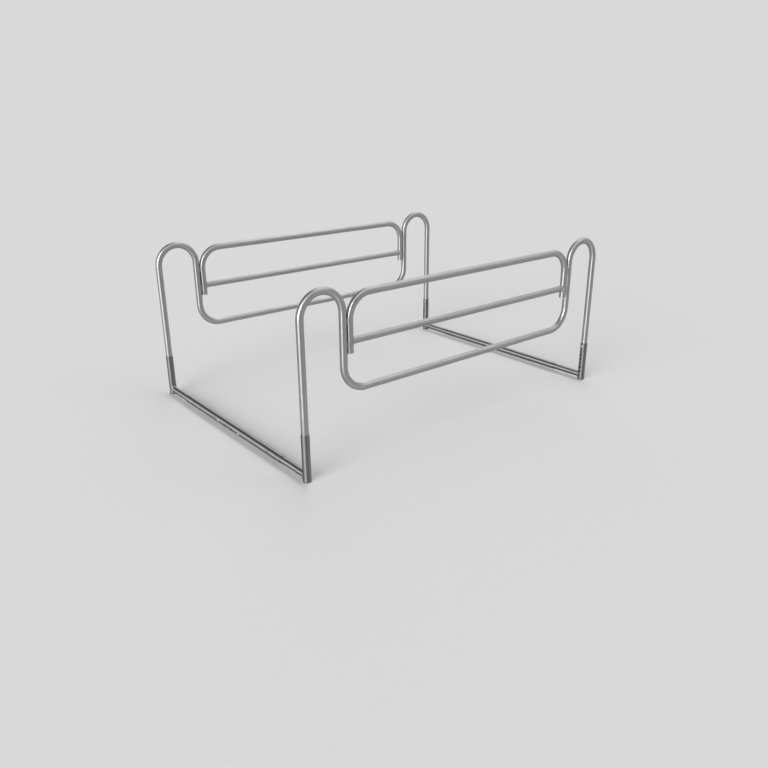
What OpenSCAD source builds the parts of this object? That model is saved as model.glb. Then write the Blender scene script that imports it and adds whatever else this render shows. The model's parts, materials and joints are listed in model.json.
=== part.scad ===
// Pair of full-length bed side rails, joined under the mattress by two telescoping crossbars.
// X runs along the bed from foot (-) to head (+), Y across it from the sleeper's left (-) to
// right (+), Z up. The origin is on the surface that the part stands on, under its middle.

/* [Rail tubes] */
// Distance between the two leg axes of one rail
leg_span = 1460; // [1100:10:1900]
// Outer diameter of the bent rail tube
tube_d = 25.4; // [22:0.1:32]
// Wall of the bent rail tube
tube_wall = 1.5; // [1:0.1:2]
// Centreline radius of the loop at the top of each leg
loop_r = 80; // [50:1:120]
// Height of the loop's highest centreline point above the bottom bar
loop_rise = 348; // [330:1:480]
// Centreline radius of the bend into the bottom bar
lower_bend_r = 86; // [50:1:110]
// Height of the top bar above the bottom bar
top_bar_rise = 320; // [290:1:420]
// Centreline radius of the top tube's corners
corner_r = 83; // [50:1:110]
// Height of the top tube's open ends above the bottom bar
top_tube_end_rise = 130; // [90:1:140]
// Height of the middle bar above the bottom bar
middle_bar_rise = 168; // [155:1:190]
// Outer diameter of the middle bar
middle_bar_d = 24; // [16:0.5:25]
// Wall of the middle bar
middle_bar_wall = 1.2; // [0.8:0.1:2]

/* [Sleeves and crossbars] */
// Distance between the leg axes of the left and the right rail
rail_spacing = 1018; // [960:1:1100]
// Wall of the sleeves and of the cross tubes
sleeve_wall = 1.52; // [1:0.01:2.5]
// Length of each sleeve
sleeve_len = 165; // [160:1:260]
// Height of the bottom bar above the sleeves' rims, rails at their highest hole
bar_above_rim = 105; // [60:1:160]
// Height of the crossbars' axes above the sleeves' lower ends
crossbar_rise = 18; // [17:0.5:40]
// Chamfer on the rims of the sleeves and cross tubes
rim_edge = 0.4; // [0.1:0.1:0.6]
// Length of the cross tube between the two sides' arms
cross_tube_len = 720; // [712:1:800]

/* [Locking holes] */
// Number of holes in each row
hole_count = 7; // [4:1:7]
// Distance between the height holes
height_pitch = 19.05; // [15:0.05:19.5]
// Distance from a sleeve's rim to its top height hole
rim_to_hole = 14; // [10:0.5:16]
// Distance between the width holes
width_pitch = 50.8; // [40:0.1:50.8]
// Distance from a cross tube's mouth to its outermost width hole
mouth_to_hole = 27.2; // [15:0.1:30]
// Number of width holes left between the rest hole and the narrowest one
narrower_holes = 1; // [0:1:2]

/* [Snap buttons] */
// Diameter of a snap button
button_d = 8; // [6:0.1:9]
// Height of a button above the sleeve it locks
button_proud = 2.2; // [1.5:0.1:3]
// Diameter of a button's inner shoulder
shoulder_d = 10.4; // [10:0.1:11.5]
// Thickness of a button's inner shoulder and of its rivet head
shoulder_t = 1.2; // [0.8:0.1:2]
// Diameter of a button's rivet shank
shank_d = 4; // [3:0.1:5]
// Thickness of the spring strip
strip_t = 0.8; // [0.5:0.1:1.2]
// Width of the spring strip
strip_w = 8; // [6:0.1:10]
// Length of a spring's leaf from the button to its free end
leaf_tail = 12; // [8:0.5:14]
// Length of a spring's leaf from the button to its bend
leaf_reach = 22; // [14:0.5:30]
// Distance from the button to the open end of the tube that carries it
button_to_end = 20; // [16:0.5:24]

/* [Plugs] */
// Thickness of a sleeve plug's foot
foot_t = 3; // [2:0.1:6]
// Length of a sleeve plug inside the sleeve
foot_plug_len = 11; // [6:0.5:12]
// Thickness of a top tube plug's head
end_cap_t = 2.5; // [1.5:0.1:4]
// Length of a top tube plug inside the tube
end_plug_len = 12; // [6:0.5:25]
// Wall of the plugs
plug_wall = 2; // [1:0.1:3]

/* [Clearances] */
// Radial gap of a leg in its sleeve, and of an arm in its cross tube
slide_gap = 0.08; // [0.03:0.01:0.1]
// Gap left for the weld between two joined tubes
weld_gap = 0.1; // [0.05:0.05:0.5]
// Radial gap of a button in its own tube
button_gap = 0.1; // [0.05:0.05:0.3]
// Radial gap of a button in the locking holes
lock_gap = 0.25; // [0.15:0.05:0.5]
// Gap between a spring or plug and the wall it presses on
seat_gap = 0.05; // [0.02:0.01:0.2]

/* [Hidden] */
$fn = 64;

// Signs of the sides and ends, used as left/right and foot/head
left = -1;
right = 1;
foot = -1;
head = 1;
cut = 1; // overrun of a cut past the face that it opens

tube_r = tube_d / 2;
bore_r = tube_r - tube_wall;
sleeve_bore_r = tube_r + slide_gap;
sleeve_r = sleeve_bore_r + sleeve_wall;
middle_bar_r = middle_bar_d / 2;

// Heights above the surface that the part stands on
sleeve_z = foot_t;
rim_z = sleeve_z + sleeve_len;
crossbar_z = sleeve_z + crossbar_rise;
bottom_bar_z = rim_z + bar_above_rim;
loop_centre_z = bottom_bar_z + loop_rise - loop_r;
height_button_z = rim_z - rim_to_hole;
leg_end_z = height_button_z - button_to_end;

// Places along the rail, measured from its middle
leg_x = leg_span / 2;
top_tube_x = leg_x - 2 * loop_r - tube_d - weld_gap;

// Places across the bed, measured from its middle
rail_y = rail_spacing / 2;
mouth_y = cross_tube_len / 2;
widest_hole_y = mouth_y - mouth_to_hole;
width_button_y = widest_hole_y - (hole_count - 1 - narrower_holes) * width_pitch;
arm_end_y = width_button_y - button_to_end;

// Snap button and spring, measured outwards from the axis of their tube
button_r = button_d / 2;
button_tip = sleeve_r + button_proud;
shoulder_r = shoulder_d / 2;
shoulder_out = sqrt(pow(bore_r - seat_gap, 2) - pow(shoulder_r, 2));
leaf_out = shoulder_out - shoulder_t;
leaf_back = -sqrt(pow(bore_r - seat_gap, 2) - pow(strip_w / 2, 2));
spring_bend_r = (leaf_out - leaf_back) / 2;
dome_rise = button_proud - 0.3;
dome_r = (button_r * button_r + dome_rise * dome_rise) / (2 * dome_rise);

steel = [0.73, 0.73, 0.72];
dull_steel = [0.62, 0.62, 0.61];
spring_steel = [0.45, 0.46, 0.48];
plug_grey = [0.78, 0.76, 0.74];
plug_black = [0.12, 0.12, 0.13];

// A solid rod along a path of straights and quarter turns. It starts at the origin along +Z;
// ["straight", length] goes on, ["turn", radius, angle] bends towards +X, or -X if radius < 0.
module rod(path, r, step = 0) {
    if (step < len(path)) {
        move = path[step];
        if (move[0] == "straight") {
            cylinder(h = move[1], r = r);
            translate([0, 0, move[1]]) rod(path, r, step + 1);
        } else {
            side = sign(move[1]);
            bend_r = abs(move[1]);
            translate([side * bend_r, 0, 0]) {
                rotate([90, 0, 0]) mirror([side > 0 ? 1 : 0, 0, 0])
                    rotate_extrude(angle = move[2]) translate([bend_r, 0]) circle(r);
                rotate([0, side * move[2], 0]) translate([-side * bend_r, 0, 0])
                    rod(path, r, step + 1);
            }
        }
    }
}

// The same path with its first and last straight made longer, for a bore open at both ends
function lengthened(path, extra) = [
    for (i = [0 : len(path) - 1])
        i == 0 || i == len(path) - 1 ? ["straight", path[i][1] + extra] : path[i]
];

module bent_tube(path, r, wall) {
    difference() {
        rod(path, r);
        translate([0, 0, -cut]) rod(lengthened(path, cut), r - wall);
    }
}

// A straight tube along +Z from the origin
module tube(length, r, wall) {
    difference() {
        cylinder(h = length, r = r);
        translate([0, 0, -cut]) cylinder(h = length + 2 * cut, r = r - wall);
    }
}

// A larger tube that another slides in, with both rims chamfered inside and out
module outer_tube(length) {
    rotate_extrude() polygon([
        [sleeve_bore_r, rim_edge], [sleeve_bore_r + rim_edge, 0],
        [sleeve_r - rim_edge, 0], [sleeve_r, rim_edge],
        [sleeve_r, length - rim_edge], [sleeve_r - rim_edge, length],
        [sleeve_bore_r + rim_edge, length], [sleeve_bore_r, length - rim_edge],
    ]);
}

// A round hole through one wall only, from the axis of a tube out along +X
module side_hole(r) {
    rotate([0, 90, 0]) cylinder(h = sleeve_r + cut, r = r);
}

// ---- places: each lays out one side, one end or one corner ----

// A piece modelled for the right side, on the side wanted
module on_side(side) {
    mirror([0, side == left ? 1 : 0, 0]) children();
}

// A piece modelled for the head end, at the end wanted
module at_end(end) {
    mirror([end == foot ? 1 : 0, 0, 0]) children();
}

// Leg axis of one corner, at the height given, +X towards the middle of the rail
module at_leg(side, end, z) {
    on_side(side) at_end(end) translate([leg_x, rail_y, z]) mirror([1, 0, 0]) children();
}

// Crossbar axis, as far from the middle as given, +X out of the bed's end, +Z to the near side
module at_crossbar(side, end, y) {
    on_side(side) at_end(end) translate([leg_x, y, crossbar_z]) rotate([-90, 0, 0]) children();
}

// ---- rails ----

module frame_tube(side) {
    leg_len = loop_centre_z - leg_end_z;
    inner_len = loop_centre_z - bottom_bar_z - lower_bend_r;
    bar_len = 2 * (leg_x - 2 * loop_r - lower_bend_r);
    path = [
        ["straight", leg_len], ["turn", loop_r, 180],
        ["straight", inner_len], ["turn", -lower_bend_r, 90],
        ["straight", bar_len],
        ["turn", -lower_bend_r, 90], ["straight", inner_len],
        ["turn", loop_r, 180], ["straight", leg_len],
    ];
    on_side(side) difference() {
        translate([-leg_x, rail_y, leg_end_z]) bent_tube(path, tube_r, tube_wall);
        for (end = [foot, head])
            translate([end * leg_x, rail_y, height_button_z])
                mirror([end == head ? 1 : 0, 0, 0]) side_hole(button_r + button_gap);
    }
}

module top_tube(side) {
    upright_len = top_bar_rise - corner_r - top_tube_end_rise;
    bar_len = 2 * (top_tube_x - corner_r);
    path = [
        ["straight", upright_len], ["turn", corner_r, 90],
        ["straight", bar_len],
        ["turn", corner_r, 90], ["straight", upright_len],
    ];
    on_side(side) translate([-top_tube_x, rail_y, bottom_bar_z + top_tube_end_rise])
        bent_tube(path, tube_r, tube_wall);
}

module middle_bar(side) {
    on_side(side) translate([0, rail_y, bottom_bar_z + middle_bar_rise]) difference() {
        translate([-top_tube_x, 0, 0]) rotate([0, 90, 0])
            tube(2 * top_tube_x, middle_bar_r, middle_bar_wall);
        for (x = [-top_tube_x, top_tube_x])
            translate([x, 0, -tube_r]) cylinder(h = tube_d, r = tube_r + weld_gap);
    }
}

// A plug whose head stands at z < 0 and whose hollow body fills a bore from z = 0 up
module plug(head_r, head_t, body_r, body_len, edge) {
    rotate_extrude() difference() {
        union() {
            polygon([
                [0, -head_t], [head_r - edge, -head_t], [head_r, edge - head_t],
                [head_r, 0], [0, 0],
            ]);
            square([body_r, body_len]);
        }
        square([body_r - plug_wall, body_len + cut]);
    }
}

module end_plugs(side) {
    on_side(side) for (x = [-top_tube_x, top_tube_x])
        translate([x, rail_y, bottom_bar_z + top_tube_end_rise])
            plug(tube_r, end_cap_t, bore_r - seat_gap, end_plug_len, end_cap_t / 2);
}

// ---- sleeves, arms and crossbars ----

module sleeve(side, end) {
    at_leg(side, end, sleeve_z) difference() {
        outer_tube(sleeve_len);
        for (i = [0 : hole_count - 1])
            translate([0, 0, sleeve_len - rim_to_hole - i * height_pitch])
                side_hole(button_r + lock_gap);
    }
}

module sleeve_plug(side, end) {
    at_leg(side, end, sleeve_z)
        plug(sleeve_r, foot_t, sleeve_bore_r - seat_gap, foot_plug_len, foot_t / 3);
}

module arm(side, end) {
    at_crossbar(side, end, 0) difference() {
        translate([0, 0, arm_end_y]) tube(rail_y - arm_end_y, tube_r, tube_wall);
        translate([0, sleeve_r + cut, rail_y]) rotate([90, 0, 0])
            cylinder(h = 2 * (sleeve_r + cut), r = sleeve_r + weld_gap);
        translate([0, 0, width_button_y]) side_hole(button_r + button_gap);
    }
}

module cross_tube(end) {
    at_end(end) translate([leg_x, 0, crossbar_z]) rotate([-90, 0, 0]) difference() {
        translate([0, 0, -mouth_y]) outer_tube(cross_tube_len);
        for (way = [-1, 1], i = [0 : hole_count - 1])
            translate([0, 0, way * (widest_hole_y - i * width_pitch)])
                side_hole(button_r + lock_gap);
    }
}

// ---- snap buttons: a button pointing along +X, and its U-shaped spring bent at +Z ----

module button() {
    rotate([0, 90, 0]) {
        intersection() {
            translate([0, 0, shoulder_out]) cylinder(h = button_tip - shoulder_out, r = button_r);
            translate([0, 0, button_tip - dome_r]) sphere(dome_r);
        }
        translate([0, 0, leaf_out]) cylinder(h = shoulder_t, r = shoulder_r);
        translate([0, 0, leaf_out - strip_t]) cylinder(h = strip_t, d = shank_d);
        translate([0, 0, leaf_out - strip_t - shoulder_t])
            cylinder(h = shoulder_t, r1 = shank_d / 2, r2 = shank_d / 2 + strip_t);
    }
}

module button_spring() {
    difference() {
        translate([leaf_back + spring_bend_r, 0, leaf_reach]) {
            rotate([90, 0, 0]) linear_extrude(strip_w, center = true) difference() {
                union() {
                    circle(spring_bend_r);
                    translate([-spring_bend_r, -leaf_reach - leaf_tail])
                        square([2 * spring_bend_r, leaf_reach + leaf_tail]);
                }
                circle(spring_bend_r - strip_t);
                translate([strip_t - spring_bend_r, -leaf_reach - leaf_tail - cut])
                    square([2 * (spring_bend_r - strip_t), leaf_reach + leaf_tail + cut]);
            }
        }
        rotate([0, 90, 0]) cylinder(h = leaf_out + cut, d = shank_d + 2 * seat_gap);
    }
}

// ---- nodes ----

module left_rail_frame_tube() { color(steel) frame_tube(left); }
module right_rail_frame_tube() { color(steel) frame_tube(right); }
module left_rail_top_tube() { color(steel) top_tube(left); }
module right_rail_top_tube() { color(steel) top_tube(right); }
module left_rail_middle_bar() { color(steel) middle_bar(left); }
module right_rail_middle_bar() { color(steel) middle_bar(right); }
module left_rail_end_plugs() { color(plug_grey) end_plugs(left); }
module right_rail_end_plugs() { color(plug_grey) end_plugs(right); }

module left_foot_sleeve() { color(dull_steel) sleeve(left, foot); }
module left_head_sleeve() { color(dull_steel) sleeve(left, head); }
module right_foot_sleeve() { color(dull_steel) sleeve(right, foot); }
module right_head_sleeve() { color(dull_steel) sleeve(right, head); }
module left_foot_sleeve_plug() { color(plug_black) sleeve_plug(left, foot); }
module left_head_sleeve_plug() { color(plug_black) sleeve_plug(left, head); }
module right_foot_sleeve_plug() { color(plug_black) sleeve_plug(right, foot); }
module right_head_sleeve_plug() { color(plug_black) sleeve_plug(right, head); }
module left_foot_arm() { color(dull_steel) arm(left, foot); }
module left_head_arm() { color(dull_steel) arm(left, head); }
module right_foot_arm() { color(dull_steel) arm(right, foot); }
module right_head_arm() { color(dull_steel) arm(right, head); }
module foot_cross_tube() { color(dull_steel) cross_tube(foot); }
module head_cross_tube() { color(dull_steel) cross_tube(head); }

module height_button(side, end) { at_leg(side, end, height_button_z) button(); }
module height_spring(side, end) { at_leg(side, end, height_button_z) button_spring(); }
module width_button(side, end) { at_crossbar(side, end, width_button_y) button(); }
module width_spring(side, end) { at_crossbar(side, end, width_button_y) button_spring(); }

module left_foot_height_button() { color(steel) height_button(left, foot); }
module left_head_height_button() { color(steel) height_button(left, head); }
module right_foot_height_button() { color(steel) height_button(right, foot); }
module right_head_height_button() { color(steel) height_button(right, head); }
module left_foot_height_spring() { color(spring_steel) height_spring(left, foot); }
module left_head_height_spring() { color(spring_steel) height_spring(left, head); }
module right_foot_height_spring() { color(spring_steel) height_spring(right, foot); }
module right_head_height_spring() { color(spring_steel) height_spring(right, head); }
module left_foot_width_button() { color(steel) width_button(left, foot); }
module left_head_width_button() { color(steel) width_button(left, head); }
module right_foot_width_button() { color(steel) width_button(right, foot); }
module right_head_width_button() { color(steel) width_button(right, head); }
module left_foot_width_spring() { color(spring_steel) width_spring(left, foot); }
module left_head_width_spring() { color(spring_steel) width_spring(left, head); }
module right_foot_width_spring() { color(spring_steel) width_spring(right, foot); }
module right_head_width_spring() { color(spring_steel) width_spring(right, head); }

left_rail_frame_tube();
left_rail_top_tube();
left_rail_middle_bar();
left_rail_end_plugs();
right_rail_frame_tube();
right_rail_top_tube();
right_rail_middle_bar();
right_rail_end_plugs();
left_foot_sleeve();
left_head_sleeve();
right_foot_sleeve();
right_head_sleeve();
left_foot_sleeve_plug();
left_head_sleeve_plug();
right_foot_sleeve_plug();
right_head_sleeve_plug();
left_foot_arm();
left_head_arm();
right_foot_arm();
right_head_arm();
foot_cross_tube();
head_cross_tube();
left_foot_height_button();
left_head_height_button();
right_foot_height_button();
right_head_height_button();
left_foot_height_spring();
left_head_height_spring();
right_foot_height_spring();
right_head_height_spring();
left_foot_width_button();
left_head_width_button();
right_foot_width_button();
right_head_width_button();
left_foot_width_spring();
left_head_width_spring();
right_foot_width_spring();
right_head_width_spring();
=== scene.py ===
"""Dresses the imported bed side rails: camera, floor, lights, finishes, weld beads and strip springs.

Lengths are metres in the CAD's frame: X along the bed towards the pillows, Y across it, Z up.
"""
import json
import math

import bpy
import numpy as np
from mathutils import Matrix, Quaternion, Vector
from mathutils.bvhtree import BVHTree

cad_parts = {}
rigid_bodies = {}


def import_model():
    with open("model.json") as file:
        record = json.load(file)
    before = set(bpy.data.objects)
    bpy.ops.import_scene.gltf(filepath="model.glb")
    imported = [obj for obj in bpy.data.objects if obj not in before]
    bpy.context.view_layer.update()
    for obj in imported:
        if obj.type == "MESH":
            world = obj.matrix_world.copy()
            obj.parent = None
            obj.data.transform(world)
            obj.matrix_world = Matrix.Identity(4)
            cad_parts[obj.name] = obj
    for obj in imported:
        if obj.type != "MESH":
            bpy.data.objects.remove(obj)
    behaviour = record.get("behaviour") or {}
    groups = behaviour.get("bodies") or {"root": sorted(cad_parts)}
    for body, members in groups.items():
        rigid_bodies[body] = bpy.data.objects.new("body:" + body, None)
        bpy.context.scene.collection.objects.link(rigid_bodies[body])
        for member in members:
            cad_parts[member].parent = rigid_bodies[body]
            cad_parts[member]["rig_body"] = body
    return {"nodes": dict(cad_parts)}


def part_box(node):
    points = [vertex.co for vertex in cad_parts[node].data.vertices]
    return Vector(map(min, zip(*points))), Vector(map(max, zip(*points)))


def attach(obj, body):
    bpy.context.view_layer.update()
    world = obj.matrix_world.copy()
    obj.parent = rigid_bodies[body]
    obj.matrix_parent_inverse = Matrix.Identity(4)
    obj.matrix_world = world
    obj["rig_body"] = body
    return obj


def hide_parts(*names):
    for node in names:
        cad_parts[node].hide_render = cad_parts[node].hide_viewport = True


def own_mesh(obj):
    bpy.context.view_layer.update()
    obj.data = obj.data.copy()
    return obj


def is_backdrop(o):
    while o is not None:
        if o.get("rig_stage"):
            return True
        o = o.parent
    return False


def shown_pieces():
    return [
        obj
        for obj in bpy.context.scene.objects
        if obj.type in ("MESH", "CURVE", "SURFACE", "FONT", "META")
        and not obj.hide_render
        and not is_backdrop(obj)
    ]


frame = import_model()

NODES = frame["nodes"]
SCENE = bpy.context.scene
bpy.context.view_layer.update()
MM = 0.001

# ---- image points: pixels of the photograph, 768 wide and high ----

W = 768
H = 768
IMAGE_POINTS = {
    "left_edge": (154.9, None),
    "right_edge": (597.0, None),
    "top_edge": (None, 210.5),
    "bottom_edge": (None, 481.0),
    "far_foot_loop": (175.0, 246.6),
    "far_head_loop": (416.0, 213.0),
    "near_foot_loop": (325.0, 291.8),
    "near_head_loop": (586.0, 243.0),
    "near_sleeve_rim": (305.0, 434.5),
    "near_top_tube_end": (350.5, 352.0),
    "far_top_tube_end": (204.5, 294.8),
    "near_middle_bar_weld": (354.0, 338.0),
    "near_upper_tack": (346.5, 322.0),
    "near_lower_tack": (347.2, 346.0),
}

# ---- camera ----

CAMERA_PLACE = Vector((-1.8648, -2.2863, 1.1469))
CAMERA_AIM = Vector((0.0149, 0.0, 0.0042))
CAMERA_ROLL = math.radians(-0.367)
LENS = 34.004
SENSOR_WIDTH = 36.0


def make_camera():
    """The scene's camera, at the photograph's viewing angle."""
    data = bpy.data.cameras.new("camera")
    data.lens = LENS
    data.sensor_width = SENSOR_WIDTH
    data.sensor_fit = "AUTO"
    data.clip_start = 0.05
    data.clip_end = 300.0
    camera = bpy.data.objects.new("camera", data)
    SCENE.collection.objects.link(camera)
    look = (CAMERA_AIM - CAMERA_PLACE).to_track_quat("-Z", "Y")
    camera.rotation_mode = "QUATERNION"
    camera.rotation_quaternion = look @ Quaternion((0, 0, 1), CAMERA_ROLL)
    camera.location = CAMERA_PLACE
    SCENE.camera = camera
    bpy.context.view_layer.update()
    return camera


CAMERA = make_camera()


def seen_at(place):
    """Image x and y at which a place shows."""
    data = CAMERA.data
    size = max(W, H)
    local = CAMERA.matrix_world.inverted() @ Vector(place)
    scale = size * data.lens / data.sensor_width / -local.z
    x = W / 2 - data.shift_x * size + local.x * scale
    y = H / 2 + data.shift_y * size - local.y * scale
    return x, y


def tree_of(objects):
    """Search tree of the objects' faces, as placed."""
    vertices = []
    faces = []
    for item in objects:
        base = len(vertices)
        vertices += [item.matrix_world @ v.co for v in item.data.vertices]
        faces += [[base + i for i in face.vertices] for face in item.data.polygons]
    return BVHTree.FromPolygons(vertices, faces)


MISS_STEP = 0.01
MISS_STEPS = 600


def place_under(point, carriers):
    """Place where the ray through an image point meets the carriers, or passes nearest to them."""
    data = CAMERA.data
    size = max(W, H)
    ray = Vector((
        point[0] - W / 2 + data.shift_x * size,
        H / 2 - point[1] + data.shift_y * size,
        -size * data.lens / data.sensor_width,
    ))
    ray = (CAMERA.matrix_world.to_3x3() @ ray).normalized()
    start = CAMERA.matrix_world.translation
    tree = tree_of(carriers)
    place = tree.ray_cast(start, ray)[0]
    if place is None:
        steps = [start + ray * (MISS_STEP * i) for i in range(1, MISS_STEPS)]
        place = min((tree.find_nearest(p) for p in steps), key=lambda hit: hit[3])[0]
    return place


# ---- sizes read from the frame ----

FRAME_LOW, FRAME_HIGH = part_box("right_rail_frame_tube")
TOP_LOW, TOP_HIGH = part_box("right_rail_top_tube")
MIDDLE_LOW, MIDDLE_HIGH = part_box("right_rail_middle_bar")
SLEEVE_LOW, SLEEVE_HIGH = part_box("right_head_sleeve")
CROSS_LOW, CROSS_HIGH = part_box("head_cross_tube")

TUBE_R = (FRAME_HIGH.y - FRAME_LOW.y) / 2
RAIL_Y = (FRAME_HIGH.y + FRAME_LOW.y) / 2
LEG_X = FRAME_HIGH.x - TUBE_R
TOP_TUBE_X = TOP_HIGH.x - TUBE_R
TOP_BAR_Z = TOP_HIGH.z - TUBE_R
LOOP_TOP_Z = FRAME_HIGH.z - TUBE_R
MIDDLE_BAR_R = (MIDDLE_HIGH.z - MIDDLE_LOW.z) / 2
MIDDLE_BAR_Z = (MIDDLE_HIGH.z + MIDDLE_LOW.z) / 2
SLEEVE_R = (SLEEVE_HIGH.x - SLEEVE_LOW.x) / 2
CROSS_Z = (CROSS_HIGH.z + CROSS_LOW.z) / 2

# Centreline radii of the bends, as in the CAD source
LOOP_R = 80 * MM
LOWER_BEND_R = 86 * MM
CORNER_R = 83 * MM
BOTTOM_BAR_Z = 273 * MM

LOOP_X = LEG_X - LOOP_R
INNER_X = LEG_X - 2 * LOOP_R
LOOP_Z = LOOP_TOP_Z - LOOP_R

# Side and end of the bed, each with the sign of its Y or X
CORNERS = [(side, way, end, along) for side, way in (("left", -1), ("right", 1))
           for end, along in (("foot", -1), ("head", 1))]


# ---- shader nodes ----

class Nodes:
    """Adds and links the nodes of one tree. A socket, number or tuple can feed any input."""

    def __init__(self, tree):
        self.tree = tree
        tree.nodes.clear()

    def add(self, kind, inputs=None, **settings):
        node = self.tree.nodes.new(kind)
        for name, value in settings.items():
            setattr(node, name, value)
        for name, value in (inputs or {}).items():
            self.feed(node.inputs[name], value)
        return node

    def feed(self, socket, value):
        if isinstance(value, bpy.types.NodeSocket):
            self.tree.links.new(value, socket)
        else:
            socket.default_value = value

    def math(self, operation, *values):
        inputs = dict(enumerate(values))
        return self.add("ShaderNodeMath", inputs, operation=operation).outputs[0]

    def hypot(self, first, second):
        squares = [self.math("MULTIPLY", value, value) for value in (first, second)]
        return self.math("SQRT", self.math("ADD", *squares))

    def past(self, value, distance):
        """How far a value is past a distance from zero, on either side."""
        return self.math("SUBTRACT", self.math("ABSOLUTE", value), distance)

    def vector(self, operation, *values):
        inputs = dict(enumerate(values))
        return self.add("ShaderNodeVectorMath", inputs, operation=operation).outputs[0]

    def split(self, vector):
        return self.add("ShaderNodeSeparateXYZ", {0: vector}).outputs

    def join(self, x, y, z):
        return self.add("ShaderNodeCombineXYZ", {0: x, 1: y, 2: z}).outputs[0]

    def noise(self, vector, scale, detail=2.0, roughness=0.5, distortion=0.0):
        """Noise from 0 to 1 at a scale given as (x, y, z) or as one number, per metre."""
        scale = scale if isinstance(scale, tuple) else (scale,) * 3
        inputs = {
            "Vector": self.vector("MULTIPLY", vector, scale),
            "Scale": 1.0,
            "Detail": detail,
            "Roughness": roughness,
            "Distortion": distortion,
        }
        return self.add("ShaderNodeTexNoise", inputs).outputs["Fac"]

    def between(self, value, low, high, to_low=0.0, to_high=1.0):
        """The value mapped smoothly from low..high to to_low..to_high, and held at both ends."""
        inputs = {
            "Value": value,
            "From Min": low,
            "From Max": high,
            "To Min": to_low,
            "To Max": to_high,
        }
        node = self.add("ShaderNodeMapRange", inputs, interpolation_type="SMOOTHSTEP")
        return node.outputs["Result"]

    def mix(self, share, first, second):
        """Mix of two colours."""
        node = self.add("ShaderNodeMix", data_type="RGBA")
        self.feed(node.inputs[0], share)
        self.feed(node.inputs[6], first)
        self.feed(node.inputs[7], second)
        return node.outputs[2]

    def bump(self, height, distance, normal=None):
        """Normal of a surface raised by height times distance, on top of another normal."""
        inputs = {"Height": height, "Distance": distance, "Strength": 1.0}
        if normal is not None:
            inputs["Normal"] = normal
        return self.add("ShaderNodeBump", inputs).outputs["Normal"]


def grey(value, warmth=0.0):
    """Colour of a lightness, a little warmer or cooler than neutral."""
    return (value * (1 + warmth), value, value * (1 - warmth), 1.0)


def new_material(name):
    material = bpy.data.materials.new(name)
    material.use_nodes = True
    return material, Nodes(material.node_tree)


def surface(nodes, color, roughness, normal, **constants):
    """Principled shader with this colour, roughness and normal, and constants on its sockets."""
    inputs = {"Base Color": color, "Roughness": roughness, "Normal": normal}
    shader = nodes.add("ShaderNodeBsdfPrincipled", inputs)
    for name, value in constants.items():
        nodes.feed(shader.inputs[name.replace("_", " ")], value)
    nodes.add("ShaderNodeOutputMaterial", {"Surface": shader.outputs[0]})


# ---- tube coordinates: each gives (place on the unbent tube, direction along the tube) ----
# The place is (across, across, along), so that a pattern follows the tube round its bends.

def object_place(nodes):
    return nodes.add("ShaderNodeTexCoord").outputs["Object"]


def arc(nodes, across, up, radius):
    """Distance from an arc's centreline, its angle, and the unit vector from its centre."""
    length = nodes.hypot(across, up)
    offset = nodes.math("SUBTRACT", length, radius)
    angle = nodes.math("ARCTAN2", up, nodes.math("ABSOLUTE", across))
    return offset, angle, nodes.math("DIVIDE", across, length), nodes.math("DIVIDE", up, length)


def choose(nodes, share, first, second):
    """First value where the share is 0, second where it is 1."""
    return nodes.math("ADD", nodes.math("MULTIPLY", nodes.math("SUBTRACT", 1.0, share), first),
                      nodes.math("MULTIPLY", share, second))


def frame_tube_place(nodes):
    """Frame tube: a loop on each leg, then a bend the other way into the bottom bar."""
    x, y, z = nodes.split(object_place(nodes))
    side = nodes.math("SIGN", x)
    away = nodes.math("ABSOLUTE", x)
    loop = arc(nodes, nodes.math("SUBTRACT", away, LOOP_X),
               nodes.math("MAXIMUM", nodes.math("SUBTRACT", z, LOOP_Z), 0.0), LOOP_R)
    bend_x = INNER_X - LOWER_BEND_R
    bend_z = BOTTOM_BAR_Z + LOWER_BEND_R
    bend = arc(nodes, nodes.math("MAXIMUM", nodes.math("SUBTRACT", away, bend_x), 0.0),
               nodes.math("MAXIMUM", nodes.math("SUBTRACT", bend_z, z), 0.0), LOWER_BEND_R)
    below = nodes.math("LESS_THAN", z, (bend_z + LOOP_Z) / 2)
    in_bend = nodes.math("MULTIPLY", below, nodes.math("LESS_THAN", away, LOOP_X))
    along_loop = nodes.math("ADD", nodes.math("MINIMUM", z, LOOP_Z),
                            nodes.math("MULTIPLY", loop[1], LOOP_R))
    along_bend = nodes.math("SUBTRACT", nodes.math("ADD", nodes.math("MAXIMUM", z, bend_z),
                                                   nodes.math("MINIMUM", away, bend_x)),
                            nodes.math("MULTIPLY", bend[1], LOWER_BEND_R))
    along = choose(nodes, in_bend, along_loop, nodes.math("SUBTRACT", along_bend, bend_x))
    offset = choose(nodes, in_bend, loop[0], nodes.math("MULTIPLY", bend[0], -1.0))
    out_x = nodes.math("MULTIPLY", choose(nodes, in_bend, loop[2], bend[2]), side)
    out_z = choose(nodes, in_bend, loop[3], nodes.math("MULTIPLY", bend[3], -1.0))
    direction = nodes.join(out_z, 0.0, nodes.math("MULTIPLY", out_x, -1.0))
    return nodes.join(offset, nodes.past(y, RAIL_Y), along), direction


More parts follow.
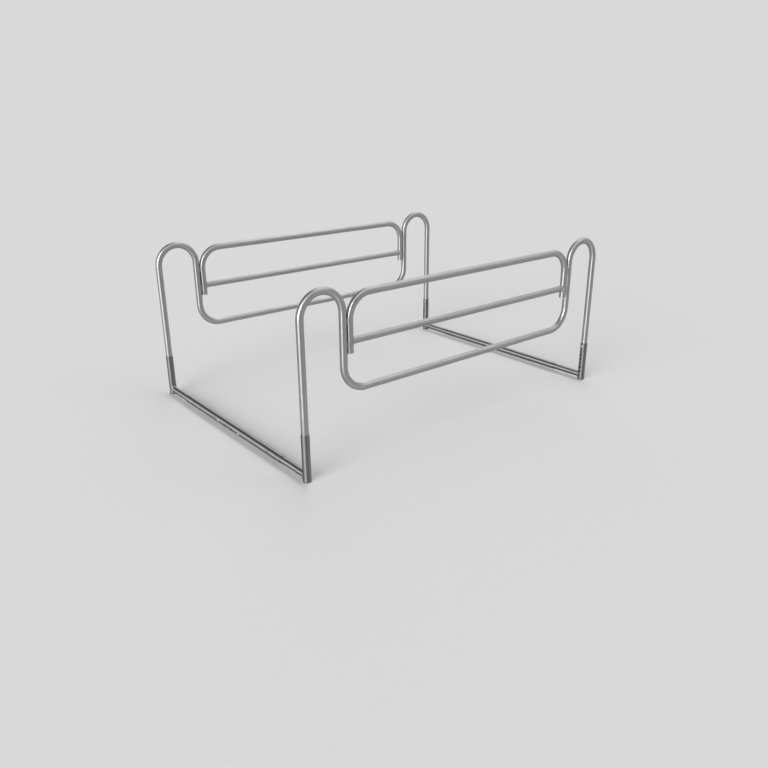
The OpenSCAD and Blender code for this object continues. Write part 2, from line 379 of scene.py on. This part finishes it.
def top_tube_place(nodes):
    """Top tube: two uprights joined by the top bar."""
    x, y, z = nodes.split(object_place(nodes))
    side = nodes.math("SIGN", x)
    away = nodes.math("ABSOLUTE", x)
    corner_x = TOP_TUBE_X - CORNER_R
    corner_z = TOP_BAR_Z - CORNER_R
    corner = arc(nodes, nodes.math("MAXIMUM", nodes.math("SUBTRACT", away, corner_x), 0.0),
                 nodes.math("MAXIMUM", nodes.math("SUBTRACT", z, corner_z), 0.0), CORNER_R)
    inwards = nodes.math("SUBTRACT", corner_x, nodes.math("MINIMUM", away, corner_x))
    turned = nodes.math("ADD", nodes.math("MULTIPLY", corner[1], CORNER_R), inwards)
    along = nodes.math("ADD", nodes.math("MINIMUM", z, corner_z), turned)
    out_x = nodes.math("MULTIPLY", corner[2], side)
    direction = nodes.join(corner[3], 0.0, nodes.math("MULTIPLY", out_x, -1.0))
    return nodes.join(corner[0], nodes.past(y, RAIL_Y), along), direction


def bar_place(nodes):
    x, y, z = nodes.split(object_place(nodes))
    above = nodes.math("SUBTRACT", z, MIDDLE_BAR_Z)
    return nodes.join(above, nodes.past(y, RAIL_Y), x), nodes.join(1.0, 0.0, 0.0)


def sleeve_place(nodes):
    x, y, z = nodes.split(object_place(nodes))
    return nodes.join(nodes.past(x, LEG_X), nodes.past(y, RAIL_Y), z), nodes.join(0.0, 0.0, 1.0)


def crossbar_place(nodes):
    x, y, z = nodes.split(object_place(nodes))
    above = nodes.math("SUBTRACT", z, CROSS_Z)
    return nodes.join(nodes.past(x, LEG_X), above, y), nodes.join(0.0, 1.0, 0.0)


# ---- finishes ----
# Noise scales are waves in a metre: across, across and along on a tube, x, y and z elsewhere.

RAIL_GREY = 0.37
RAIL_ROUGHNESS = 0.34
SLEEVE_GREY = 0.26
SLEEVE_ROUGHNESS = 0.60
CROSSBAR_ROUGHNESS = 0.41
BRUSHED = 0.9  # anisotropy: highlights spread along a tube and stay narrow round it
EDGE_TINT = grey(0.9)  # keeps the metal from darkening at its outline
LEGS_WORN_BELOW = 0.34
LEGS_WORN_OVER = 0.06


def satin_tube(name, coordinates, lightness, roughness, worn_below=None):
    """Satin plated steel: polishing rings, draw lines, scratches, pits, haze and handling marks."""
    material, nodes = new_material(name)
    place, direction = coordinates(nodes)
    rings = nodes.noise(place, (55.0, 55.0, 1900.0), detail=3.0)
    lines = nodes.noise(place, (1300.0, 1300.0, 9.0), detail=2.0)
    haze = nodes.noise(place, 14.0, detail=4.0, roughness=0.6)
    patches = nodes.noise(place, (24.0, 24.0, 7.0), detail=3.0, distortion=0.4)
    waves = nodes.noise(place, (18.0, 18.0, 26.0), detail=1.0)
    scratches = nodes.between(nodes.noise(place, (700.0, 700.0, 30.0), detail=1.0), 0.70, 0.76)
    nicks = nodes.noise(place, (60.0, 90.0, 900.0), detail=1.0, distortion=1.5)
    nicks = nodes.between(nicks, 0.74, 0.80)
    pits = nodes.between(nodes.noise(place, 520.0, detail=0.0), 0.78, 0.86)
    marks = nodes.math("MAXIMUM", nodes.math("MAXIMUM", scratches, nicks), pits)

    tone = nodes.mix(haze, grey(lightness * 0.90, -0.004), grey(lightness * 1.08, -0.016))
    handled = nodes.between(patches, 0.35, 0.75, 0.0, 0.35)
    tone = nodes.mix(handled, tone, grey(lightness * 0.84, 0.03))
    tone = nodes.mix(nodes.math("MULTIPLY", rings, 0.16), tone, grey(lightness * 0.75))
    tone = nodes.mix(nodes.math("MULTIPLY", pits, 0.6), tone, grey(lightness * 0.45, 0.05))

    rough = nodes.between(haze, 0.25, 0.75, roughness - 0.05, roughness + 0.06)
    rough = nodes.math("ADD", rough, nodes.between(lines, 0.3, 0.7, -0.03, 0.03))
    rough = nodes.math("ADD", rough, nodes.between(patches, 0.45, 0.8, 0.0, 0.07))
    rough = nodes.math("ADD", rough, nodes.math("MULTIPLY", marks, 0.12))
    if worn_below is not None:
        # The legs' lower ends are scored by sliding in the sleeves.
        height = nodes.split(object_place(nodes))[2]
        reach = nodes.between(height, worn_below, worn_below - LEGS_WORN_OVER)
        scores = nodes.between(nodes.noise(place, (900.0, 900.0, 4.0), detail=1.0), 0.52, 0.66)
        worn = nodes.math("MULTIPLY", reach, scores)
        tone = nodes.mix(nodes.math("MULTIPLY", worn, 0.5), tone, grey(lightness * 1.25))
        rough = nodes.math("ADD", rough, nodes.math("MULTIPLY", worn, -0.08))

    normal = nodes.bump(waves, 0.25 * MM)
    normal = nodes.bump(rings, 0.006 * MM, normal=normal)
    normal = nodes.bump(lines, 0.004 * MM, normal=normal)
    normal = nodes.bump(nodes.math("MULTIPLY", marks, -1.0), 0.03 * MM, normal=normal)
    surface(nodes, tone, rough, normal, Metallic=1.0, Anisotropic=BRUSHED, Tangent=direction,
            Specular_Tint=EDGE_TINT)
    return material


def weld_metal():
    """Plated weld bead: duller than the tube, with a grainy skin and darker flecks that follow its
    grain.
    """
    material, nodes = new_material("weld_metal")
    place = object_place(nodes)
    grain = nodes.noise(place, 1500.0, detail=3.0)
    stain = nodes.noise(place, 160.0, detail=3.0)
    tone = nodes.mix(stain, grey(0.27, 0.05), grey(0.38, 0.02))
    tone = nodes.mix(nodes.between(grain, 0.55, 0.8, 0.0, 0.5), tone, grey(0.18, 0.06))
    rough = nodes.between(stain, 0.3, 0.7, 0.36, 0.5)
    surface(nodes, tone, rough, nodes.bump(grain, 0.05 * MM), Metallic=1.0)
    return material


def spring_strip():
    """Blued spring strip, with rolling lines and straw-coloured heat marks."""
    material, nodes = new_material("spring_strip")
    place = object_place(nodes)
    lines = nodes.noise(place, (260.0, 2600.0, 260.0), detail=2.0)
    heat = nodes.noise(place, 120.0, detail=2.0)
    tone = nodes.mix(heat, (0.075, 0.090, 0.125, 1.0), (0.150, 0.135, 0.115, 1.0))
    tone = nodes.mix(nodes.math("MULTIPLY", lines, 0.3), tone, grey(0.22))
    rough = nodes.between(lines, 0.3, 0.7, 0.28, 0.40)
    surface(nodes, tone, rough, nodes.bump(lines, 0.01 * MM), Metallic=1.0)
    return material


def turned_button():
    """Bright snap button with turning rings about its own axis and a worn crown."""
    material, nodes = new_material("turned_button")
    box_place = nodes.add("ShaderNodeTexCoord").outputs["Generated"]
    _, across, up = nodes.split(nodes.vector("SUBTRACT", box_place, (0.5, 0.5, 0.5)))
    rings = nodes.math("SINE", nodes.math("MULTIPLY", nodes.hypot(across, up), 170.0))
    wear = nodes.noise(object_place(nodes), 700.0, detail=3.0)
    tone = nodes.mix(wear, grey(0.50, 0.02), grey(0.62))
    rough = nodes.between(wear, 0.3, 0.7, 0.16, 0.27)
    normal = nodes.bump(rings, 0.004 * MM)
    normal = nodes.bump(wear, 0.01 * MM, normal=normal)
    surface(nodes, tone, rough, normal, Metallic=1.0)
    return material


DUST_HEIGHT = 4 * MM


def moulded(name, dark, light, grain_size, grain_depth, roughness, dust=None):
    """Moulded plastic or rubber: grain, mottling, scuffs, and dust of a given tone low down."""
    material, nodes = new_material(name)
    place = object_place(nodes)
    grain = nodes.noise(place, 1.0 / grain_size, detail=2.0)
    mottle = nodes.noise(place, 90.0, detail=3.0)
    scuffs = nodes.between(nodes.noise(place, (240.0, 240.0, 1100.0), detail=2.0), 0.6, 0.72)
    tone = nodes.mix(mottle, dark, light)
    tone = nodes.mix(nodes.math("MULTIPLY", scuffs, 0.25), tone, light)
    if dust is not None:
        height = nodes.split(place)[2]
        low = nodes.between(height, DUST_HEIGHT, 0.0)
        share = nodes.math("MULTIPLY", low, nodes.between(mottle, 0.35, 0.65, 0.2, 0.8))
        tone = nodes.mix(share, tone, dust)
    rough = nodes.between(mottle, 0.3, 0.7, roughness - 0.06, roughness + 0.06)
    rough = nodes.math("ADD", rough, nodes.math("MULTIPLY", scuffs, 0.08))
    surface(nodes, tone, rough, nodes.bump(grain, grain_depth))
    return material


def finish_nodes():
    """Gives every CAD node that stays in view its finish."""
    rail = (RAIL_GREY, RAIL_ROUGHNESS)
    sleeve = (SLEEVE_GREY, SLEEVE_ROUGHNESS)
    crossbar = (SLEEVE_GREY, CROSSBAR_ROUGHNESS)
    finishes = {
        "rail_frame_tube": satin_tube("rail_frame_steel", frame_tube_place, *rail,
                                      worn_below=LEGS_WORN_BELOW),
        "rail_top_tube": satin_tube("rail_top_steel", top_tube_place, *rail),
        "rail_middle_bar": satin_tube("rail_bar_steel", bar_place, *rail),
        "sleeve": satin_tube("sleeve_steel_finish", sleeve_place, *sleeve),
        "arm": satin_tube("arm_steel_finish", crossbar_place, *crossbar),
        "cross_tube": satin_tube("cross_steel_finish", crossbar_place, *crossbar),
        "button": turned_button(),
        "end_plugs": moulded("plug_finish", (0.46, 0.44, 0.42, 1), (0.56, 0.54, 0.51, 1),
                             0.7 * MM, 0.05 * MM, 0.5),
        "sleeve_plug": moulded("foot_finish", (0.020, 0.020, 0.021, 1), (0.035, 0.035, 0.036, 1),
                               0.8 * MM, 0.08 * MM, 0.62, dust=(0.16, 0.15, 0.14, 1)),
    }
    for name, node in NODES.items():
        for ending, material in finishes.items():
            if name.endswith(ending):
                for place in node.material_slots:
                    place.material = material


# ---- weld beads ----

WELD = weld_metal()
RING = 10  # vertices round a bead
RIPPLE_DEPTH = 0.22  # share of a bead's size that is lost between two ripples

SADDLE_STEPS = 96
SADDLE_PITCH = 6  # steps in a ripple
BAR_WELD_SIZE = 2.8 * MM
ARM_WELD_SIZE = 4.0 * MM

TACK_STEPS = 30
TACK_PITCH = 5
TACK_LENGTH = 24 * MM
TACK_HALF_WIDTH = 3.4 * MM
TACK_HALF_DEPTH = 2.0 * MM
TACK_DEPTH = 7.9 * MM  # of a tack's middle from the plane of the two tubes' axes
TACK_SWAY = 0.3 * MM


def add_bead(vertices, faces, centres, radii, closed):
    """Adds one bead: an ellipse about each centre, half width along side, half depth along up."""
    first = len(vertices)
    count = len(centres)
    for (centre, side, up), (wide, deep) in zip(centres, radii):
        for k in range(RING):
            turn = 2 * math.pi * k / RING
            vertices.append(centre + side * (wide * math.cos(turn)) + up * (deep * math.sin(turn)))
    for i in range(count if closed else count - 1):
        here = first + i * RING
        there = first + (i + 1) % count * RING
        for k in range(RING):
            faces.append((here + k, here + (k + 1) % RING, there + (k + 1) % RING, there + k))
    if not closed:
        last = first + (count - 1) * RING
        faces.append(tuple(first + k for k in reversed(range(RING))))
        faces.append(tuple(last + k for k in range(RING)))


def make_piece(name, vertices, faces, material, body):
    mesh = bpy.data.meshes.new(name)
    mesh.from_pydata([tuple(v) for v in vertices], [], faces)
    mesh.update()
    for face in mesh.polygons:
        face.use_smooth = True
    mesh.materials.append(material)
    piece = bpy.data.objects.new(name, mesh)
    SCENE.collection.objects.link(piece)
    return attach(piece, body)


def ripple(step, pitch):
    """Stacked ripples of a weld: steep at the front of each, then flat."""
    share = step % pitch / pitch
    return 1.0 - RIPPLE_DEPTH * (1.0 - share) ** 2


def saddle_weld(name, centre, along, small_r, big_r, big_axis, size, body):
    """Fillet bead where a small tube along one axis meets a bigger tube along another."""
    along = Vector(along)
    big_axis = Vector(big_axis)
    side = big_axis.cross(along)
    centres = []
    radii = []
    for i in range(SADDLE_STEPS):
        turn = 2 * math.pi * i / SADDLE_STEPS
        out = side * math.cos(turn) + big_axis * math.sin(turn)
        reach = math.sqrt(big_r ** 2 - (small_r * math.cos(turn)) ** 2)
        place = Vector(centre) + along * (reach + 0.25 * size) + out * (small_r + 0.1 * size)
        depth = (out * 0.7 + along * 0.7).normalized()
        centres.append((place, (along - out).normalized(), depth))
        uneven = 1 + 0.08 * math.sin(3 * turn + centre[0] * 50)
        growth = ripple(i, SADDLE_PITCH) * uneven
        radii.append((size * 0.75 * growth, size * 0.5 * growth))
    vertices, faces = [], []
    add_bead(vertices, faces, centres, radii, closed=True)
    return make_piece(name, vertices, faces, WELD, body)


def middle_bar_welds():
    for side, way, end, along in CORNERS:
        saddle_weld(f"{side}_{end}_bar_weld", (along * TOP_TUBE_X, way * RAIL_Y, MIDDLE_BAR_Z),
                    (-along, 0, 0), MIDDLE_BAR_R, TUBE_R, (0, 0, 1), BAR_WELD_SIZE,
                    f"{side}_rail")


def arm_welds():
    for side, way, end, along in CORNERS:
        saddle_weld(f"{side}_{end}_arm_weld", (along * LEG_X, way * RAIL_Y, CROSS_Z),
                    (0, -way, 0), TUBE_R, SLEEVE_R, (0, 0, 1), ARM_WELD_SIZE,
                    f"{side}_support")


def add_tack(vertices, faces, x, y, z, phase):
    """Adds one upright tack bead, with rounded ends and a slight sway, about its middle."""
    centres = []
    radii = []
    for i in range(TACK_STEPS + 1):
        share = i / TACK_STEPS
        sway = TACK_SWAY * math.sin(9 * share + phase)
        place = Vector((x + sway, y, z + (share - 0.5) * TACK_LENGTH))
        centres.append((place, Vector((1, 0, 0)), Vector((0, 1, 0))))
        rounded = math.sqrt(max(1 - (2 * share - 1) ** 6, 0.02))
        growth = ripple(i, TACK_PITCH) * rounded
        radii.append((TACK_HALF_WIDTH * growth, TACK_HALF_DEPTH * growth))
    add_bead(vertices, faces, centres, radii, closed=False)


def tack_rows():
    """Tack beads in each groove between an upright of the top tube and the frame tube."""
    carriers = [NODES["left_rail_frame_tube"], NODES["left_rail_top_tube"]]
    points = [IMAGE_POINTS[name] for name in ("near_upper_tack", "near_lower_tack")]
    heights = [place_under(point, carriers).z for point in points]
    groove_x = (TOP_TUBE_X + INNER_X) / 2
    for side, way, end, along in CORNERS:
        vertices, faces = [], []
        for face in (-1, 1):
            for row, height in enumerate(heights):
                add_tack(vertices, faces, along * groove_x, way * RAIL_Y + face * TACK_DEPTH,
                         height, row + face)
        make_piece(f"{side}_{end}_tacks", vertices, faces, WELD, f"{side}_rail")


# ---- strip springs ----

def springs():
    """A strip in place of each CAD spring, with the blued strip finish, on the spring's own body."""
    strip = spring_strip()
    for name, node in list(NODES.items()):
        if not name.endswith("_spring"):
            continue
        piece = bpy.data.objects.new(name + "_strip", node.data.copy())
        SCENE.collection.objects.link(piece)
        piece.data.materials.clear()
        piece.data.materials.append(strip)
        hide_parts(name)
        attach(piece, node["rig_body"])
        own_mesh(piece)


# ---- floor, world and lights ----

FLOOR_RADIUS = 90.0
FLOOR_CORNERS = 96
HORIZON_BAND = grey(0.695, 0.003)  # as bright as the lit floor shows, so that no horizon is seen
PANEL_BRIGHT = grey(3.6)
ABOVE_DARK = grey(0.20)
WINDOW_TOWARDS = (-0.928, -0.284, 0.242)
WINDOW_STRENGTH = 4.5
WINDOW_WIDTH = 50  # degrees


def make_floor():
    """Plain pale floor, round, reaching to where it meets the world's horizon."""
    rim = [2 * math.pi * i / FLOOR_CORNERS for i in range(FLOOR_CORNERS)]
    mesh = bpy.data.meshes.new("floor")
    corners = [(FLOOR_RADIUS * math.cos(turn), FLOOR_RADIUS * math.sin(turn), 0) for turn in rim]
    mesh.from_pydata(corners, [], [tuple(range(len(rim)))])
    floor = bpy.data.objects.new("floor", mesh)
    SCENE.collection.objects.link(floor)
    material, nodes = new_material("pale_floor")
    speckle = nodes.noise(object_place(nodes), 30.0, detail=4.0)
    tone = nodes.mix(speckle, grey(0.62, 0.003), grey(0.64, 0.003))
    surface(nodes, tone, 0.85, nodes.bump(speckle, 0.1 * MM), Specular_IOR_Level=0.0)
    mesh.materials.append(material)
    floor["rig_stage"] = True


def make_world():
    """Pale round the horizon. Above it, a broad soft panel over the bed's far side, dark elsewhere.

    The panel's bounds are on the x and y of the direction into the sky, the band's on its z.
    """
    world = bpy.data.worlds.new("studio")
    SCENE.world = world
    world.use_nodes = True
    nodes = Nodes(world.node_tree)
    along, across, up = nodes.split(nodes.add("ShaderNodeTexCoord").outputs["Generated"])
    panel = nodes.math("MULTIPLY", nodes.between(along, 0.25, 0.45),
                       nodes.between(along, 0.52, 0.77, 1.0, 0.08))
    panel = nodes.math("MULTIPLY", panel, nodes.between(across, -0.78, -0.48))
    above = nodes.mix(panel, ABOVE_DARK, PANEL_BRIGHT)
    color = nodes.mix(nodes.between(up, 0.30, 0.44), HORIZON_BAND, above)
    background = nodes.add("ShaderNodeBackground", {"Color": color, "Strength": 1.0})
    nodes.add("ShaderNodeOutputWorld", {"Surface": background.outputs[0]})


def sun_light(name, towards, strength, width):
    """Distant light that shines from a direction and is as wide in the sky as the angle."""
    data = bpy.data.lights.new(name, "SUN")
    data.energy = strength
    data.angle = math.radians(width)
    light = bpy.data.objects.new(name, data)
    SCENE.collection.objects.link(light)
    light.rotation_mode = "QUATERNION"
    light.rotation_quaternion = Vector(towards).to_track_quat("Z", "Y")


# ---- where the named image points show in the camera's image ----

LOOP_STEPS = 90
SEEN_WITHIN = 0.5 * MM  # a place counts as seen if the ray to it ends this near


def loop_top(way, along):
    """Highest point in the image of the centreline of the loop on one leg."""
    spots = []
    for i in range(LOOP_STEPS + 1):
        turn = math.pi * i / LOOP_STEPS
        x = along * LOOP_X + LOOP_R * math.cos(turn)
        spots.append(seen_at((x, way * RAIL_Y, LOOP_Z + LOOP_R * math.sin(turn))))
    return min(spots, key=lambda spot: spot[1])


def shown_middle(places, tree):
    """Middle, in the image, of those places that the camera sees."""
    eye = CAMERA.matrix_world.translation
    seen = []
    for place in places:
        ray = place - eye
        hit = tree.ray_cast(eye, ray.normalized())[0]
        if hit is None or (hit - eye).length > ray.length - SEEN_WITHIN:
            seen.append(seen_at(place))
    return tuple((np.min(seen, axis=0) + np.max(seen, axis=0)) / 2)


def write_records():
    pieces = [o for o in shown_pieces() if o.type == "MESH"]
    tree = tree_of(pieces)
    spots = np.array([seen_at(o.matrix_world @ v.co) for o in pieces for v in o.data.vertices])
    tacks = [v.co for v in bpy.data.objects["left_foot_tacks"].data.vertices]
    row = len(tacks) // 4  # the outward face's upper and lower tack come first
    shows = {
        "left_edge": (spots[:, 0].min(), None),
        "right_edge": (spots[:, 0].max(), None),
        "top_edge": (None, spots[:, 1].min()),
        "bottom_edge": (None, spots[:, 1].max()),
        "far_foot_loop": loop_top(1, -1),
        "far_head_loop": loop_top(1, 1),
        "near_foot_loop": loop_top(-1, -1),
        "near_head_loop": loop_top(-1, 1),
        "near_sleeve_rim": seen_at((-LEG_X, -RAIL_Y, SLEEVE_HIGH.z)),
        "near_top_tube_end": seen_at((-TOP_TUBE_X, -RAIL_Y, TOP_LOW.z)),
        "far_top_tube_end": seen_at((-TOP_TUBE_X, RAIL_Y, TOP_LOW.z)),
        "near_middle_bar_weld": seen_at((-TOP_TUBE_X + TUBE_R, -RAIL_Y, MIDDLE_BAR_Z)),
        "near_upper_tack": shown_middle(tacks[:row], tree),
        "near_lower_tack": shown_middle(tacks[row:2 * row], tree),
    }


SCENE.view_settings.view_transform = "Standard"
finish_nodes()
middle_bar_welds()
arm_welds()
tack_rows()
springs()
make_floor()
make_world()
sun_light("window", WINDOW_TOWARDS, WINDOW_STRENGTH, WINDOW_WIDTH)
bpy.context.view_layer.update()
write_records()
